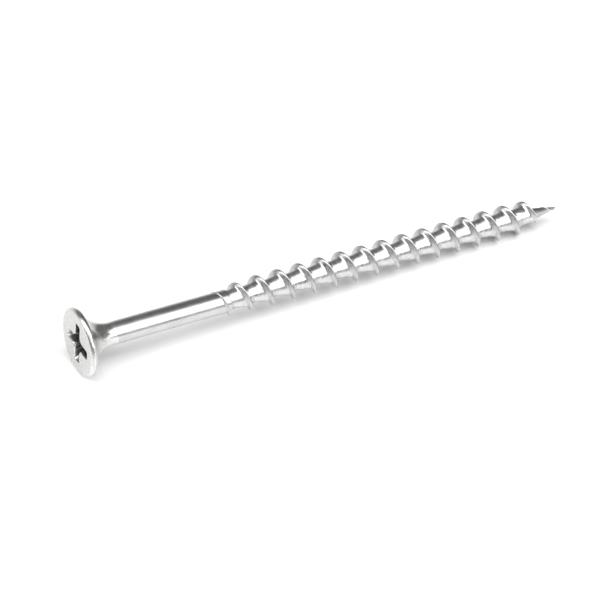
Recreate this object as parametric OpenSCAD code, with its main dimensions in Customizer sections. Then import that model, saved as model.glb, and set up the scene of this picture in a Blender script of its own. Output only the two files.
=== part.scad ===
// Wood screw: flat countersunk bugle head with a cross recess, plain shank,
// coarse single-start thread over the last two thirds, and a gimlet point.
// The axis is +X. The origin is the centre of the flat head face, and the
// point is at x = length. All sizes are in millimetres.

/* [Size] */
// Overall length, from the head face to the tip of the point
length = 63.5; // [50:0.5:90]
// Length from the head face to the end of the plain shank
plain_length = 19; // [12:0.5:30]

/* [Head] */
// Diameter of the head
head_d = 8.15; // [7.8:0.05:8.8]
// Thickness of the head's edge, with both rounded corners
rim_h = 0.8; // [0.8:0.02:1]
// Distance from the head face to where the concave neck meets the shank
neck_end = 4.3; // [4:0.1:5.5]

/* [Recess] */
// Span of the cross recess, from wing end to wing end
recess_span = 5.2; // [4.6:0.1:5.6]
// Width of a wing at the head face
wing_w = 1.16; // [0.9:0.02:1.3]
// Depth of the wings' outer ends
wing_depth = 2.3; // [1.9:0.05:2.4]
// Depth of the middle of the recess
recess_depth = 2.85; // [2.5:0.05:2.95]

/* [Shank and thread] */
// Diameter of the plain shank
shank_d = 2.7; // [2.6:0.05:3]
// Diameter of the core under the thread
core_d = 2.2; // [2.1:0.05:2.55]
// Outer diameter of the thread
thread_d = 4; // [3.6:0.05:4.6]
// Distance from one turn of the thread to the next
pitch = 2.77; // [2.2:0.01:3.5]
// Width of the thread where it leaves the core
thread_base = 0.86; // [0.6:0.02:1.1]
// Width of the thread's crest
thread_crest = 0.24; // [0.1:0.02:0.4]

/* [Point] */
// Length of the conical point
point_length = 5.2; // [4:0.1:7]

/* [Hidden] */

$fn = 96;
overshoot = 1;           // a cutter starts this far outside the head face

head_r = head_d / 2;
shank_r = shank_d / 2;
core_r = core_d / 2;
thread_r = thread_d / 2;
face_round = 0.4;        // radius of the rim's corner at the face
back_round = 0.4;        // radius of the rim's corner at the neck
head_h = 3.1;            // plane below the recess where the neck begins
shank_bevel = 0.1;       // bevel on the end of the plain shank
tip_r = 0.06;            // radius left on the very tip

// The neck is an arc tangent to the shank that rises to the rim.
flare_start = rim_h;
flare_r = head_r - back_round;
flare_run = neck_end - flare_start;
flare_rise = flare_r - shank_r;
neck_arc = (flare_run * flare_run + flare_rise * flare_rise) / (2 * flare_rise);

wing_taper = 26.5;       // slope of the wings' outer ends, from the axis
flank_taper = 3;         // slope of the wings' flanks, from the axis
wing_floor = 0.3;        // half width of the flat at the recess's deepest point
hub_top = 1.08;          // radius of the recess's round middle at the face
hub_floor = 0.72;        // radius of the round middle at wing_depth

point_start = length - point_length;
segments = 32;           // straight steps in one turn of the thread
crest_phase = 47.5;      // angle about the axis, from +Y towards +Z
crest_x = 22.99;         // at this x the crest stands at crest_phase
root_sink = 0.02;        // depth by which the flight is rooted in the core
runout = 1.6;            // the thread begins this far back on the shank
start_ramp = 2.0;        // first rise of the thread
full_ramp = 5.8;         // length over which it reaches full height
fade_back = 4.5;         // it starts to die away this far before its end
fade_length = 3.6;       // length over which it dies away
fade_gap = 0.12;         // the thread ends this far short of the tip
start_step = 0.72;       // share of the height gained in the first rise
least = 0.05;            // share of full section left at the thread's ends

function ramp(t) = let(u = min(1, max(0, t))) u * u * (3 - 2 * u);

function neck_radius(x) =
    let(d = neck_end - x)
    shank_r + neck_arc - sqrt(neck_arc * neck_arc - d * d);

function body_radius(x) =
    x < point_start ? core_r
                    : core_r + (tip_r - core_r) * (x - point_start) / point_length;

thread_start = plain_length - runout;
thread_end = length - fade_gap;
steps = floor((thread_end - thread_start) / pitch * segments);

// Share of the full section that the thread has at x.
function growth(x) =
    least
    + (start_step - least) * ramp((x - thread_start) / start_ramp)
    + (1 - start_step) * ramp((x - thread_start - start_ramp) / (full_ramp - start_ramp));
function fade(x) = max(least, 1 - ramp((x - thread_end + fade_back) / fade_length));
function share(x) = min(growth(x), fade(x));

function ring_point(x, r, angle) = [x, r * cos(angle), r * sin(angle)];

// The four corners of the thread's section at step i.
function section(i) =
    let(
        x = thread_start + i * pitch / segments,
        angle = crest_phase + 360 * (x - crest_x) / pitch,
        s = share(x),
        base = thread_base / 2 * sqrt(s),
        crest = thread_crest / 2 * sqrt(s),
        root = max(tip_r / 2, body_radius(min(x + base, length)) - root_sink),
        grown = shank_r + (thread_r - shank_r) * growth(x),
        faded = body_radius(x) + (thread_r - core_r) * fade(x),
        top = min(grown, faded)
    )
    [
        ring_point(x - base, root, angle),
        ring_point(x + base, root, angle),
        ring_point(x + crest, top, angle),
        ring_point(x - crest, top, angle)
    ];

module along_x() rotate([0, 90, 0]) children();

// Outline of the head from the face down to depth z, as radius and depth.
function head_outline(z) = concat(
    [[0, 0]],
    [for (a = [0:15:90])
        [head_r - face_round * (1 - sin(a)), face_round * (1 - cos(a))]],
    [for (a = [0:15:90])
        [head_r - back_round * (1 - cos(a)), rim_h - back_round * (1 - sin(a))]],
    [for (k = [1:12]) let(x = flare_start + (z - flare_start) * k / 12) [neck_radius(x), x]],
    [[0, z]]
);

// Outer end of a wing at depth z.
function wing_reach(z) = recess_span / 2 - z * tan(wing_taper);
function wing_half(z) = wing_w / 2 - z * tan(flank_taper);

module wing_pair() {
    reach_top = wing_reach(-overshoot);
    half_top = wing_half(-overshoot);
    half_floor = wing_half(recess_depth);
    intersection() {
        rotate([90, 0, 0])
            linear_extrude(height = 2 * wing_w, center = true)
                polygon([
                    [-reach_top, -overshoot], [reach_top, -overshoot],
                    [wing_reach(wing_depth), wing_depth], [wing_floor, recess_depth],
                    [-wing_floor, recess_depth], [-wing_reach(wing_depth), wing_depth]
                ]);
        rotate([90, 0, 90])
            linear_extrude(height = 2 * recess_span, center = true)
                polygon([
                    [-half_top, -overshoot], [half_top, -overshoot],
                    [half_floor, recess_depth], [-half_floor, recess_depth]
                ]);
    }
}

module recess() {
    hub_slope = (hub_top - hub_floor) / wing_depth;
    wing_pair();
    rotate([0, 0, 90]) wing_pair();
    translate([0, 0, -overshoot])
        cylinder(h = overshoot + wing_depth, r1 = hub_top + hub_slope * overshoot, r2 = hub_floor);
}

module head() {
    color([0.80, 0.80, 0.79])
        along_x() difference() {
            rotate_extrude() polygon(head_outline(head_h));
            recess();
        }
}

module neck() {
    turns = 8;
    color([0.72, 0.73, 0.74])
        along_x() rotate_extrude()
            polygon(concat(
                [[0, head_h]],
                [for (k = [0:turns])
                    let(x = head_h + (neck_end - head_h) * k / turns) [neck_radius(x), x]],
                [[0, neck_end]]
            ));
}

module shank() {
    color([0.62, 0.63, 0.65])
        along_x() rotate_extrude()
            polygon([
                [0, neck_end], [shank_r, neck_end],
                [shank_r, plain_length - shank_bevel],
                [shank_r - shank_bevel, plain_length],
                [0, plain_length]
            ]);
}

module thread_core() {
    color([0.66, 0.67, 0.68])
        translate([plain_length, 0, 0]) along_x()
            cylinder(h = point_start - plain_length, r = core_r);
}

// One closed flight wound round the core, from its run-out on the shank to
// the point.
module thread() {
    points = [for (i = [0:steps]) each section(i)];
    sides = [for (i = [0:steps - 1]) each [for (j = [0:3])
        let(a = 4 * i + j, b = 4 * i + (j + 1) % 4) each [[a, b, b + 4], [a, b + 4, a + 4]]]];
    last = 4 * steps;
    caps = [[0, 3, 2], [0, 2, 1], [last, last + 1, last + 2], [last, last + 2, last + 3]];
    color([0.76, 0.76, 0.76])
        polyhedron(points = points, faces = concat(sides, caps), convexity = 20);
}

module point() {
    color([0.70, 0.70, 0.71])
        translate([point_start, 0, 0]) along_x() rotate_extrude()
            polygon([
                [0, 0], [core_r, 0],
                [tip_r, point_length - tip_r], [0, point_length]
            ]);
}

head();
neck();
shank();
thread_core();
thread();
point();
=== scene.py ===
"""Wood screw: detailed head, shank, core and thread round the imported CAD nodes, in metres."""
import math

import bpy
import numpy as np
from mathutils import Matrix, Vector


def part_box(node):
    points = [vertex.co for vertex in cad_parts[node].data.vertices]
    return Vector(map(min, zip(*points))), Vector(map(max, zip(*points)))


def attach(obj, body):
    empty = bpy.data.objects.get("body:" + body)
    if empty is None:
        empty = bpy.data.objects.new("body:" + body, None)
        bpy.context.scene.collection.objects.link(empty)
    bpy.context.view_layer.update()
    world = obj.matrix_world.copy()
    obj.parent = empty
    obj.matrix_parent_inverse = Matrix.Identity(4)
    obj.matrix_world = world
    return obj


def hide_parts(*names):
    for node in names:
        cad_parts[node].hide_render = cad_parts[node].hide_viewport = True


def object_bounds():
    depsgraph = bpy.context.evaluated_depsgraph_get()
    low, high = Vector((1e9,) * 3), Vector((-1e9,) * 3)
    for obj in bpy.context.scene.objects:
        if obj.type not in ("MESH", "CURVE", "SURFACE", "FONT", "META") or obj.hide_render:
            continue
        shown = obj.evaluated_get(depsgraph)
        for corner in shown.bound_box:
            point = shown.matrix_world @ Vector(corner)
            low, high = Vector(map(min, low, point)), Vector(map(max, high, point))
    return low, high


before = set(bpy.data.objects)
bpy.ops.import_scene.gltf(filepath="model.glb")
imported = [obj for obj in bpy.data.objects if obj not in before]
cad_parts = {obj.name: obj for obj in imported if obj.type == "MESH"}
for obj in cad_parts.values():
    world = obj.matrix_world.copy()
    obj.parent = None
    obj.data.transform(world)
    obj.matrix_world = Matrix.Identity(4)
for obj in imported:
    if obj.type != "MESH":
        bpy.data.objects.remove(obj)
CAD_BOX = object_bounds()

MM = 0.001

# ---------------------------------------------------------------- sizes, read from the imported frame
LENGTH = CAD_BOX[1].x
HEAD_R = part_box("head")[1].y
NECK_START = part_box("neck")[0].x
NECK_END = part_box("neck")[1].x
SHANK_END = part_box("shank")[1].x
SHANK_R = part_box("shank")[1].y
CORE_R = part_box("thread_core")[1].y
THREAD_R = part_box("thread")[1].z
POINT_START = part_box("point")[0].x
THREAD_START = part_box("thread")[0].x

# ---------------------------------------------------------------- sizes of the finer shapes
RIM_HEIGHT = 0.80 * MM       # the head's edge with both rounded corners
FACE_ROUND = 0.40 * MM       # corner between the face and the edge
BACK_ROUND = 0.40 * MM       # corner between the edge and the neck
RECESS_SPAN = 5.2 * MM
WING_WIDTH = 1.16 * MM
WING_DEPTH = 2.3 * MM
RECESS_DEPTH = 2.85 * MM
WING_TAPER = math.radians(26.5)
FLANK_TAPER = math.radians(3.0)
HUB_TOP, HUB_FLOOR = 1.06 * MM, 0.70 * MM
WING_CORNER = 0.26 * MM      # rounding at the wings' ends
CROSS_BLEND = 0.30 * MM      # rounding between the wings and the hub
FLOOR_CLOSE = 0.93           # share of its width that the cross loses between the wings' floor and the bottom
LIP = 0.10 * MM              # radius of the rounded edge where the recess meets the face
NECK_SPACING = 1.3           # above 1, the neck's rings crowd towards the rim
OVERLAP = 0.3 * MM           # the head's piece runs on this far past the neck, and the shank's starts there
SHANK_BEVEL = 0.10 * MM
PITCH = 2.77 * MM
CREST_X = 22.99 * MM         # at this x the crest stands at CREST_PHASE
CREST_PHASE = math.radians(47.5)
THREAD_BASE = 0.86 * MM
TIP_R = 0.06 * MM
TIP_GAP = 0.12 * MM          # the thread stops this far short of the tip
THREAD_END = LENGTH - TIP_GAP
# The thread starts at the share LEAST of its height. It gains START_STEP of it over START_RAMP and the rest
# over SECOND_RAMP. It dies away over FADE_LENGTH, starting FADE_BACK before its end.
START_RAMP = 2.0 * MM
SECOND_RAMP = 3.8 * MM
START_STEP = 0.72
FADE_BACK = 4.5 * MM
FADE_LENGTH = 3.6 * MM
LEAST = 0.05
THREAD_LEAST_R = TIP_R * 0.4

# ---------------------------------------------------------------- fineness of the meshes
HEAD_COUNT = 256             # points in each of the head's rings
SHAFT_COUNT = 192            # points in each ring of the shank, core and point
PER_TURN = 90                # sections in each turn of the thread
SAMPLES, HALVINGS = 600, 40  # for finding the cross's outline


def ramp(t):
    t = np.clip(t, 0.0, 1.0)
    return t * t * (3.0 - 2.0 * t)


# ---------------------------------------------------------------- mesh helpers
def new_object(name, verts, faces, smooth_angle=35.0):
    mesh = bpy.data.meshes.new(name)
    mesh.from_pydata([tuple(v) for v in verts], [], faces)
    mesh.validate()
    mesh.shade_smooth()
    piece = bpy.data.objects.new(name, mesh)
    bpy.context.scene.collection.objects.link(piece)
    mesh.set_sharp_from_angle(angle=math.radians(smooth_angle))
    return piece


def ring(x, radius, count):
    """One ring of points about the axis at x."""
    a = np.arange(count) * (2 * math.pi / count)
    return np.stack([np.full(count, x), radius * np.cos(a), radius * np.sin(a)], axis=1)


def loft(rings):
    """A closed solid through rings of equal count, with a fan at each end."""
    count = len(rings[0])
    verts = [tuple(p) for r in rings for p in r]
    faces = []
    for k in range(len(rings) - 1):
        low, high = k * count, (k + 1) * count
        for i in range(count):
            j = (i + 1) % count
            faces.append((low + i, high + i, high + j, low + j))
    first, last = len(verts), len(verts) + 1
    verts.append(tuple(np.mean(rings[0], axis=0)))
    verts.append(tuple(np.mean(rings[-1], axis=0)))
    top = (len(rings) - 1) * count
    for i in range(count):
        j = (i + 1) % count
        faces.append((first, i, j))
        faces.append((last, top + j, top + i))
    return verts, faces


def store(piece, name, values):
    """Keeps one number per vertex for the material to read."""
    layer = piece.data.attributes.new(name, "FLOAT", "POINT")
    layer.data.foreach_set("value", np.asarray(values, np.float32))


# ---------------------------------------------------------------- the cross recess
def soft_min(a, b, k):
    h = np.clip(0.5 + 0.5 * (b - a) / k, 0.0, 1.0)
    return b + (a - b) * h - k * h * (1.0 - h)


def cross_distance(y, z, reach, half, hub, corner, blend):
    """Signed distance from the outline of a cross with round ends and a round middle."""
    def wing(u, v):
        du = np.abs(u) - reach + corner
        dv = np.abs(v) - half + corner
        outside = np.hypot(np.maximum(du, 0), np.maximum(dv, 0))
        return outside + np.minimum(np.maximum(du, dv), 0) - corner
    arms = soft_min(wing(y, z), wing(z, y), blend)
    return soft_min(arms, np.hypot(y, z) - hub, blend)


def cross_ring(x, level, reach, half, hub, corner, blend, count):
    """The outline at a given signed distance, found by halving, equally spaced along each eighth."""
    eighth = count // 8
    angle = np.linspace(0.0, math.pi / 4, SAMPLES)
    low, high = np.zeros_like(angle), np.full_like(angle, 2 * reach + 1e-4)
    for _ in range(HALVINGS):
        mid = (low + high) / 2
        y, z = mid * np.cos(angle), mid * np.sin(angle)
        inside = cross_distance(y, z, reach, half, hub, corner, blend) < level
        low, high = np.where(inside, mid, low), np.where(inside, high, mid)
    y, z = low * np.cos(angle), low * np.sin(angle)
    run = np.concatenate([[0.0], np.cumsum(np.hypot(np.diff(y), np.diff(z)))])
    want = np.linspace(0.0, run[-1], eighth + 1)
    y, z = np.interp(want, run, y), np.interp(want, run, z)
    arc = list(zip(y, z))
    quarter = arc[:-1] + [(b, a) for a, b in reversed(arc)][:-1]
    points = []
    for turn in range(4):
        c, s = round(math.cos(turn * math.pi / 2)), round(math.sin(turn * math.pi / 2))
        points += [(x, c * a - s * b, s * a + c * b) for a, b in quarter]
    return np.array(points)


def recess_ring(depth, level, count):
    """The recess's outline at a depth below the face."""
    wall = min(depth, WING_DEPTH)
    reach = RECESS_SPAN / 2 - wall * math.tan(WING_TAPER)
    half = WING_WIDTH / 2 - wall * math.tan(FLANK_TAPER)
    hub = HUB_TOP + (HUB_FLOOR - HUB_TOP) * wall / WING_DEPTH
    floor = max(0.0, (depth - WING_DEPTH) / (RECESS_DEPTH - WING_DEPTH))
    shrink = 1.0 - FLOOR_CLOSE * floor
    corner = min(WING_CORNER, 0.9 * half) * shrink
    sizes = (reach * shrink, half * shrink, hub * shrink, corner, CROSS_BLEND * shrink)
    return cross_ring(depth, level, *sizes, count)


# ---------------------------------------------------------------- head, with the neck
def neck_radius(x):
    """The flare: one arc that meets the shank without a corner."""
    rise = HEAD_R - BACK_ROUND - SHANK_R
    span = NECK_END - RIM_HEIGHT
    arc = (span * span + rise * rise) / (2 * rise)
    d = NECK_END - x
    return SHANK_R + arc - math.sqrt(arc * arc - d * d)


def make_head():
    count = HEAD_COUNT
    rings = []
    for u in np.linspace(1.0, 0.0, 9)[:-1]:
        rings.append(recess_ring(WING_DEPTH + u * (RECESS_DEPTH - WING_DEPTH), 0.0, count))
    for depth in np.linspace(WING_DEPTH, LIP, 15):
        rings.append(recess_ring(depth, 0.0, count))
    for a in np.linspace(0.0, math.pi / 2, 7)[1:]:
        rings.append(recess_ring(LIP * (1 - math.sin(a)), LIP * (1 - math.cos(a)), count))
    recess_rings = len(rings)
    edge = rings[-1]
    flat = ring(0.0, HEAD_R - FACE_ROUND, count)
    for u in np.linspace(0.0, 1.0, 18)[1:]:
        rings.append(edge + (flat - edge) * u)
    for a in np.linspace(0.0, math.pi / 2, 13)[1:]:
        r = HEAD_R - FACE_ROUND * (1 - math.sin(a))
        rings.append(ring(FACE_ROUND * (1 - math.cos(a)), r, count))
    for a in np.linspace(0.0, math.pi / 2, 9):
        r = HEAD_R - BACK_ROUND * (1 - math.cos(a))
        rings.append(ring(RIM_HEIGHT - BACK_ROUND * (1 - math.sin(a)), r, count))
    for x in RIM_HEIGHT + (NECK_END - RIM_HEIGHT) * (np.linspace(0.0, 1.0, 60)[1:] ** NECK_SPACING):
        rings.append(ring(x, neck_radius(x), count))
    rings.append(ring(NECK_END + OVERLAP, SHANK_R, count))
    verts, faces = loft(rings)
    piece = new_object("screw_head", verts, faces)
    # depth below the face in the recess, which the head steel reads for its painted shade
    depths = [np.clip(r[0][0] / (0.5 * MM), 0.0, 1.0) for r in rings[:recess_rings]]
    depths += [0.0] * (len(rings) - recess_rings)
    store(piece, "recess", np.concatenate([np.repeat(depths, count), [1.0, 0.0]]))
    return piece


# ---------------------------------------------------------------- plain shank
def make_shank():
    count, bevel = SHAFT_COUNT, SHANK_BEVEL
    start = NECK_END + OVERLAP
    rings = [ring(x, SHANK_R, count) for x in np.linspace(start, SHANK_END - bevel, 50)]
    for a in np.linspace(0.0, math.pi / 2, 6)[1:]:
        r = SHANK_R - bevel * (1 - math.cos(a))
        rings.append(ring(SHANK_END - bevel + bevel * math.sin(a), r, count))
    verts, faces = loft(rings)
    return new_object("plain_shank", verts, faces)


# ---------------------------------------------------------------- core and point
def core_radius(x):
    t = np.clip((x - POINT_START) / (LENGTH - POINT_START), 0.0, 1.0)
    return CORE_R + (TIP_R - CORE_R) * t


def make_core():
    count = SHAFT_COUNT
    rings = [ring(x, float(core_radius(x)), count) for x in np.linspace(SHANK_END, POINT_START, 90)]
    for x in np.linspace(POINT_START, LENGTH - TIP_R, 40)[1:]:
        rings.append(ring(x, float(core_radius(x)), count))
    for a in np.linspace(0.0, math.pi / 2, 5)[1:-1]:
        rings.append(ring(LENGTH - TIP_R + TIP_R * math.sin(a), TIP_R * math.cos(a), count))
    verts, faces = loft(rings)
    return new_object("core_and_point", verts, faces)


# ---------------------------------------------------------------- thread
def thread_growth(x):
    """Share of the full section that the thread has gained at x, from its run-out on the shank."""
    first = ramp((x - THREAD_START) / START_RAMP)
    second = ramp((x - THREAD_START - START_RAMP) / SECOND_RAMP)
    return LEAST + (START_STEP - LEAST) * first + (1.0 - START_STEP) * second


def thread_fade(x):
    """Share of it that is left at x, as it dies away along the point."""
    return max(LEAST, 1.0 - ramp((x - THREAD_END + FADE_BACK) / FADE_LENGTH))


# Each side of the thread's section: share of the half width at the base, and share of the height. Towards the
# head the foot runs out on to the core in a wide fillet; towards the point it is short. The crest is round.
HEAD_SIDE = [(5.30, -0.05), (4.60, 0.0), (3.80, 0.05), (3.00, 0.11), (2.30, 0.17), (1.80, 0.215),
             (1.40, 0.26), (1.15, 0.30), (0.98, 0.35), (0.84, 0.44), (0.71, 0.56), (0.57, 0.68),
             (0.44, 0.79), (0.30, 0.89), (0.15, 0.97)]
POINT_SIDE = [(1.12, -0.03), (0.96, 0.02), (0.83, 0.07), (0.73, 0.16), (0.65, 0.28), (0.58, 0.42),
              (0.50, 0.56), (0.41, 0.70), (0.30, 0.82), (0.19, 0.91), (0.09, 0.98)]


def make_thread():
    """The section swept along the helix. The feet follow the core, and the upper half keeps one height."""
    outline = [(-a, h) for a, h in HEAD_SIDE] + [(0.0, 1.0)] + [(a, h) for a, h in reversed(POINT_SIDE)]
    section = np.array([(a * THREAD_BASE / 2, h) for a, h in outline])
    steps = int((THREAD_END - THREAD_START) / PITCH * PER_TURN)
    rows, heights = [], []
    for i in range(steps + 1):
        x = THREAD_START + i * PITCH / PER_TURN
        growth, fade = float(thread_growth(x)), float(thread_fade(x))
        share = min(growth, fade)
        angle = CREST_PHASE + 2 * math.pi * (x - CREST_X) / PITCH
        dx = section[:, 0] * math.sqrt(share)
        body = core_radius(x + dx)
        root = float(core_radius(x))
        crest = min(SHANK_R + (THREAD_R - SHANK_R) * growth, root + (THREAD_R - CORE_R) * fade)
        r = np.where(section[:, 1] > 0.5, root, body) + (crest - root) * section[:, 1]
        r[x + dx > LENGTH] = TIP_R
        r = np.maximum(r, THREAD_LEAST_R)
        xs = np.minimum(x + dx, LENGTH)
        rows.append(np.stack([xs, r * math.cos(angle), r * math.sin(angle)], axis=1))
        heights.append(np.clip(section[:, 1], 0, 1) * share)
    verts, faces = loft(rows)
    piece = new_object("thread_flight", verts, faces, smooth_angle=50.0)
    values = np.concatenate([np.concatenate(heights), [0.0, 0.0]])
    store(piece, "height", values)
    return piece


# ---------------------------------------------------------------- materials
NOISE_RANGE = (0.3, 0.7)     # most of a noise's values lie between these
MIX_A, MIX_B, MIX_RESULT = 6, 7, 2    # the colour sockets of a Mix node


class Steel:
    """Builds one procedural steel: base colour, roughness and bump, all from noise."""

    def __init__(self, name):
        self.material = bpy.data.materials.new(name)
        self.material.use_nodes = True
        self.tree = self.material.node_tree
        self.shader = self.tree.nodes["Principled BSDF"]
        self.shader.inputs["Metallic"].default_value = 1.0
        self.coordinates = self.node("ShaderNodeTexCoord").outputs["Object"]

    def node(self, kind, **values):
        made = self.tree.nodes.new(kind)
        for key, value in values.items():
            setattr(made, key, value)
        return made

    def link(self, a, b):
        self.tree.links.new(a, b)

    def noise(self, scale, stretch=(1, 1, 1), detail=4.0, roughness=0.55):
        """Noise with features about 1 / scale metres across, drawn out along the axes."""
        mapping = self.node("ShaderNodeMapping")
        mapping.inputs["Scale"].default_value = stretch
        self.link(self.coordinates, mapping.inputs["Vector"])
        noise = self.node("ShaderNodeTexNoise")
        noise.inputs["Scale"].default_value = scale
        noise.inputs["Detail"].default_value = detail
        noise.inputs["Roughness"].default_value = roughness
        self.link(mapping.outputs["Vector"], noise.inputs["Vector"])
        return noise.outputs["Fac"]

    def spread(self, value, low, high, out_low, out_high):
        """Maps low..high to out_low..out_high, clamped."""
        mapped = self.node("ShaderNodeMapRange")
        for key, number in zip(("From Min", "From Max", "To Min", "To Max"), (low, high, out_low, out_high)):
            mapped.inputs[key].default_value = number
        self.link(value, mapped.inputs["Value"])
        return mapped.outputs["Result"]

    def across(self, noise, out_low, out_high):
        """Maps a noise's usual range to out_low..out_high."""
        return self.spread(noise, *NOISE_RANGE, out_low, out_high)

    def times(self, a, b):
        product = self.node("ShaderNodeMath", operation="MULTIPLY")
        self.link(a, product.inputs[0])
        self.link(b, product.inputs[1])
        return product.outputs["Value"]

    def plus(self, a, b):
        total = self.node("ShaderNodeMath", operation="ADD")
        self.link(a, total.inputs[0])
        self.link(b, total.inputs[1])
        return total.outputs["Value"]

    def colour(self, value, dark, light):
        mix = self.node("ShaderNodeMix", data_type="RGBA")
        self.link(value, mix.inputs["Factor"])
        mix.inputs[MIX_A].default_value = (*dark, 1.0)
        mix.inputs[MIX_B].default_value = (*light, 1.0)
        self.link(mix.outputs[MIX_RESULT], self.shader.inputs["Base Color"])

    def roughness(self, value):
        self.link(value, self.shader.inputs["Roughness"])

    def bump(self, value, depth):
        bump = self.node("ShaderNodeBump")
        bump.inputs["Strength"].default_value = 1.0
        bump.inputs["Distance"].default_value = depth
        self.link(value, bump.inputs["Height"])
        self.link(bump.outputs["Normal"], self.shader.inputs["Normal"])


def head_steel():
    """Satin: tumbled after heading, so small dents and a fine grain, with painted shade that darkens the
    recess.
    """
    s = Steel("head_steel")
    dents = s.noise(2600.0, detail=3.0)
    grain = s.noise(16000.0, detail=5.0, roughness=0.65)
    recess = s.node("ShaderNodeAttribute", attribute_name="recess").outputs["Fac"]
    # painted shade: the colour darkens with depth in the recess, from 0.1 to 0.45 mm below the face
    s.colour(s.times(s.across(dents, 0.8, 1.0), s.spread(recess, 0.2, 0.9, 1.0, 0.0)),
             dark=(0.28, 0.28, 0.27), light=(0.66, 0.66, 0.65))
    s.roughness(s.plus(s.across(dents, 0.20, 0.28), s.across(grain, 0.0, 0.08)))
    s.bump(s.plus(dents, s.spread(grain, 0.0, 1.0, 0.0, 0.25)), 0.004 * MM)
    return s.material


def shank_steel():
    """Bright drawn wire: draw lines along the axis over a nearly mirror surface."""
    s = Steel("shank_steel")
    lines = s.noise(5200.0, stretch=(0.04, 1.0, 1.0), detail=5.0, roughness=0.6)
    patches = s.noise(420.0, detail=3.0)
    s.colour(s.across(patches, 0.0, 1.0), dark=(0.48, 0.485, 0.495), light=(0.54, 0.54, 0.545))
    s.roughness(s.plus(s.across(lines, 0.24, 0.32), s.spread(patches, 0.35, 0.65, 0.0, 0.05)))
    s.bump(lines, 0.002 * MM)
    return s.material


def core_steel():
    """Bright rolled steel: marks run round the core, with small dents."""
    s = Steel("core_steel")
    marks = s.noise(3000.0, stretch=(1.0, 0.25, 0.25), detail=4.0)
    dents = s.noise(1500.0, detail=3.0)
    s.colour(s.across(dents, 0.0, 1.0), dark=(0.43, 0.43, 0.435), light=(0.51, 0.51, 0.505))
    s.roughness(s.plus(s.across(marks, 0.27, 0.35), s.across(dents, 0.0, 0.08)))
    s.bump(s.plus(marks, dents), 0.009 * MM)
    return s.material


def thread_steel():
    """Rolled as the core and a little brighter, with painted shade that darkens it towards the crest, and
    small marks.
    """
    s = Steel("thread_steel")
    height = s.node("ShaderNodeAttribute", attribute_name="height").outputs["Fac"]
    marks = s.noise(3600.0, stretch=(1.0, 0.3, 0.3), detail=4.0)
    wear = s.noise(1700.0, detail=3.0)
    # painted shade: the colour darkens over the top quarter of the thread's height towards the crest; the
    # marks are the steel's own
    painted_crest_shade_and_marks = s.times(s.spread(height, 0.75, 1.0, 1.0, 0.3), s.across(marks, 0.5, 1.0))
    s.colour(painted_crest_shade_and_marks, dark=(0.42, 0.42, 0.425), light=(0.62, 0.62, 0.615))
    s.roughness(s.plus(s.across(wear, 0.21, 0.30), s.across(marks, 0.0, 0.10)))
    s.bump(s.plus(marks, wear), 0.022 * MM)
    return s.material


def floor_white():
    """Smooth white board with a faint sheen and a barely visible grain."""
    material = bpy.data.materials.new("floor_white")
    material.use_nodes = True
    tree = material.node_tree
    shader = tree.nodes["Principled BSDF"]
    shader.inputs["Roughness"].default_value = 0.15
    shader.inputs["Specular IOR Level"].default_value = 0.9
    coordinates = tree.nodes.new("ShaderNodeTexCoord")
    noise = tree.nodes.new("ShaderNodeTexNoise")
    noise.inputs["Scale"].default_value = 900.0
    mix = tree.nodes.new("ShaderNodeMix")
    mix.data_type = "RGBA"
    mix.inputs[MIX_A].default_value = (0.945, 0.945, 0.945, 1.0)
    mix.inputs[MIX_B].default_value = (0.955, 0.955, 0.955, 1.0)
    tree.links.new(coordinates.outputs["Object"], noise.inputs["Vector"])
    tree.links.new(noise.outputs["Fac"], mix.inputs["Factor"])
    tree.links.new(mix.outputs[MIX_RESULT], shader.inputs["Base Color"])
    return material


# ---------------------------------------------------------------- the pieces
def finish_piece(piece, material, slot, *nodes):
    piece.data.materials.append(material)
    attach(piece, "root")
    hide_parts(*nodes)


finish_piece(make_head(), head_steel(), "head_steel", "head", "neck")
finish_piece(make_shank(), shank_steel(), "shank_steel", "shank")
finish_piece(make_core(), core_steel(), "thread_steel", "thread_core", "point")
finish_piece(make_thread(), thread_steel(), "thread_steel", "thread")

# ---------------------------------------------------------------- floor, touching the rim and one crest
BOTTOM = 1.5 * math.pi
PART_TURN = (BOTTOM - CREST_PHASE) / (2 * math.pi)
TURNS = math.floor((POINT_START - CREST_X) / PITCH - PART_TURN)
CREST_CONTACT = CREST_X + PITCH * (TURNS + PART_TURN)
RIM_CONTACT = RIM_HEIGHT - BACK_ROUND
TILT = math.atan2(HEAD_R - THREAD_R, CREST_CONTACT - RIM_CONTACT)
FLOOR_UP = Vector((-math.sin(TILT), 0.0, math.cos(TILT)))


def make_floor():
    half, cells = 1.6, 8     # half the board's side in metres, and its cells along a side
    along = Vector((math.cos(TILT), 0.0, math.sin(TILT)))
    origin = Vector((RIM_CONTACT, 0.0, -HEAD_R))
    steps = np.linspace(-half, half, cells + 1)
    verts = [origin + along * a + Vector((0.0, b, 0.0)) for b in steps for a in steps]
    row = cells + 1
    faces = [(j * row + i, j * row + i + 1, (j + 1) * row + i + 1, (j + 1) * row + i)
             for j in range(cells) for i in range(cells)]
    floor = new_object("floor", verts, faces)
    floor.data.materials.append(floor_white())


make_floor()

# ---------------------------------------------------------------- camera, fitted to the photo's viewing angle
TARGET = Vector((26.38, -3.93, 0.57)) * MM
DISTANCE = 360 * MM
AZIMUTH = math.radians(-30.63)
ELEVATION = math.radians(38.43)
ROLL = math.radians(1.9)
LENS = 187.8

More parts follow.
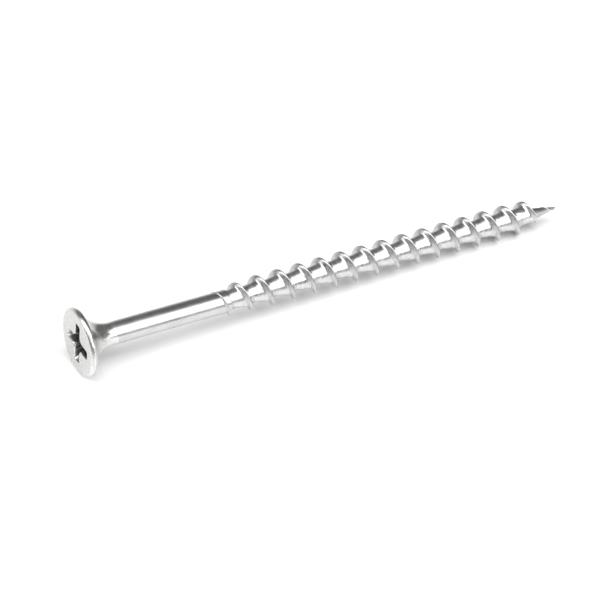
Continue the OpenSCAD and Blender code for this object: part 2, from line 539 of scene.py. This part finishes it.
camera_data = bpy.data.cameras.new("camera")
camera_data.lens = LENS
camera_data.sensor_width = 36.0
camera_data.clip_start = 0.01
camera_data.clip_end = 10.0
camera = bpy.data.objects.new("camera", camera_data)
bpy.context.scene.collection.objects.link(camera)
back = Vector((math.sin(AZIMUTH) * math.cos(ELEVATION), -math.cos(AZIMUTH) * math.cos(ELEVATION),
               math.sin(ELEVATION)))
right = FLOOR_UP.cross(back).normalized()
up = back.cross(right)
basis = Matrix((right, up, back)).transposed().to_4x4() @ Matrix.Rotation(ROLL, 4, "Z")
camera.matrix_world = Matrix.Translation(TARGET + back * DISTANCE) @ basis
bpy.context.scene.camera = camera

# ---------------------------------------------------------------- light: softboxes, back wall and fill
SOFTBOX_POWER = 4.0          # overhead, and at the front right
ROOM = 0.22                  # the room all round
FRONT_WALL = 0.12            # the room in front
BACK_WALL = 1.0              # added low down behind
HEAD_FILL = 0.8              # added in a wide area beyond the head, which keeps the floor's shadows light
FRONT = (math.sin(AZIMUTH), -math.cos(AZIMUTH), 0.0)
SIDE = (math.cos(AZIMUTH), math.sin(AZIMUTH), 0.0)
TO_POINT, TO_HEAD, UP = (1.0, 0.0, 0.0), (-1.0, 0.0, 0.0), (0.0, 0.0, 1.0)
# Edges of the softboxes: the place, as a distance along FRONT, SIDE or TO_POINT over the height above the
# object, and half the width over which the light falls off there.
BACK_EDGE, BACK_SOFT = -0.04, 0.16
OVERHEAD_FRONT, OVERHEAD_SOFT = 0.75, 0.15
FRONT_EDGE, FRONT_SOFT = 2.6, 0.3
RIGHT_BOX_EDGE, RIGHT_BOX_SOFT = 0.45, 0.2
POINT_EDGE, POINT_SOFT = 1.05, 0.12
LEAST_HEIGHT = 0.02          # keeps those quotients finite at the horizon
# Where a light starts and where it reaches full strength, as a share of a unit direction.
HORIZON = (0.0, 0.05)
WALL_BEHIND, WALL_HEIGHT, WALL_END = (-0.2, -0.6), (0.5, 0.0), (0.65, 0.4)
FILL_SIDE, FILL_HEIGHT = (0.1, 0.5), (0.15, 0.4)
FILL_FRONT = (-0.1, 0.3)     # this one over the height


def make_world():
    world = bpy.data.worlds.new("studio")
    bpy.context.scene.world = world
    world.use_nodes = True
    tree = world.node_tree
    tree.nodes.clear()

    def math_node(operation, *values):
        made = tree.nodes.new("ShaderNodeMath")
        made.operation = operation
        for socket, value in zip(made.inputs, values):
            if isinstance(value, float):
                socket.default_value = value
            else:
                tree.links.new(value, socket)
        return made.outputs[0]

    def step(value, start, end):
        made = tree.nodes.new("ShaderNodeMapRange")
        made.interpolation_type = "SMOOTHSTEP"
        made.inputs["From Min"].default_value = start
        made.inputs["From Max"].default_value = end
        tree.links.new(value, made.inputs["Value"])
        return made.outputs["Result"]

    def edge(value, place, soft):
        """0 below the place and 1 above it; the other way round where soft is negative."""
        return step(value, place - soft, place + soft)

    def along(axis):
        made = tree.nodes.new("ShaderNodeVectorMath")
        made.operation = "DOT_PRODUCT"
        made.inputs[1].default_value = axis
        tree.links.new(coordinates, made.inputs[0])
        return made.outputs["Value"]

    coordinates = tree.nodes.new("ShaderNodeTexCoord").outputs["Generated"]
    height = along(UP)
    lifted = math_node("MAXIMUM", height, LEAST_HEIGHT)
    front = math_node("DIVIDE", along(FRONT), lifted)
    side = math_node("DIVIDE", along(SIDE), lifted)
    towards_point = math_node("DIVIDE", along(TO_POINT), lifted)
    overhead = math_node("MULTIPLY", edge(front, BACK_EDGE, BACK_SOFT),
                         edge(front, OVERHEAD_FRONT, -OVERHEAD_SOFT))
    right_box = math_node("MULTIPLY", edge(front, OVERHEAD_FRONT, OVERHEAD_SOFT),
                          edge(front, FRONT_EDGE, -FRONT_SOFT))
    right_box = math_node("MULTIPLY", right_box, edge(side, RIGHT_BOX_EDGE, RIGHT_BOX_SOFT))
    above = step(height, *HORIZON)
    overhead = math_node("MULTIPLY", overhead, edge(towards_point, POINT_EDGE, -POINT_SOFT))
    box = math_node("MULTIPLY", above, math_node("ADD", overhead, right_box))
    room = math_node("ADD", math_node("MULTIPLY", step(front, 0.0, FRONT_EDGE), FRONT_WALL - ROOM), ROOM)
    back_wall = math_node("MULTIPLY", step(along(FRONT), *WALL_BEHIND), step(height, *WALL_HEIGHT))
    back_wall = math_node("MULTIPLY", back_wall, step(along(TO_POINT), *WALL_END))
    room = math_node("ADD", math_node("MULTIPLY", back_wall, BACK_WALL), room)
    fill = math_node("MULTIPLY", step(along(TO_HEAD), *FILL_SIDE), step(height, *FILL_HEIGHT))
    fill = math_node("MULTIPLY", fill, step(front, *FILL_FRONT))
    room = math_node("ADD", math_node("MULTIPLY", fill, HEAD_FILL), room)
    strength = math_node("ADD", math_node("MULTIPLY", box, SOFTBOX_POWER), room)
    seen = tree.nodes.new("ShaderNodeLightPath").outputs["Is Camera Ray"]
    studio = tree.nodes.new("ShaderNodeBackground")
    tree.links.new(strength, studio.inputs["Strength"])
    backdrop = tree.nodes.new("ShaderNodeBackground")
    mix = tree.nodes.new("ShaderNodeMixShader")
    output = tree.nodes.new("ShaderNodeOutputWorld")
    tree.links.new(seen, mix.inputs["Fac"])
    tree.links.new(studio.outputs[0], mix.inputs[1])
    tree.links.new(backdrop.outputs[0], mix.inputs[2])
    tree.links.new(mix.outputs[0], output.inputs["Surface"])


make_world()
bpy.context.scene.view_settings.view_transform = "Standard"
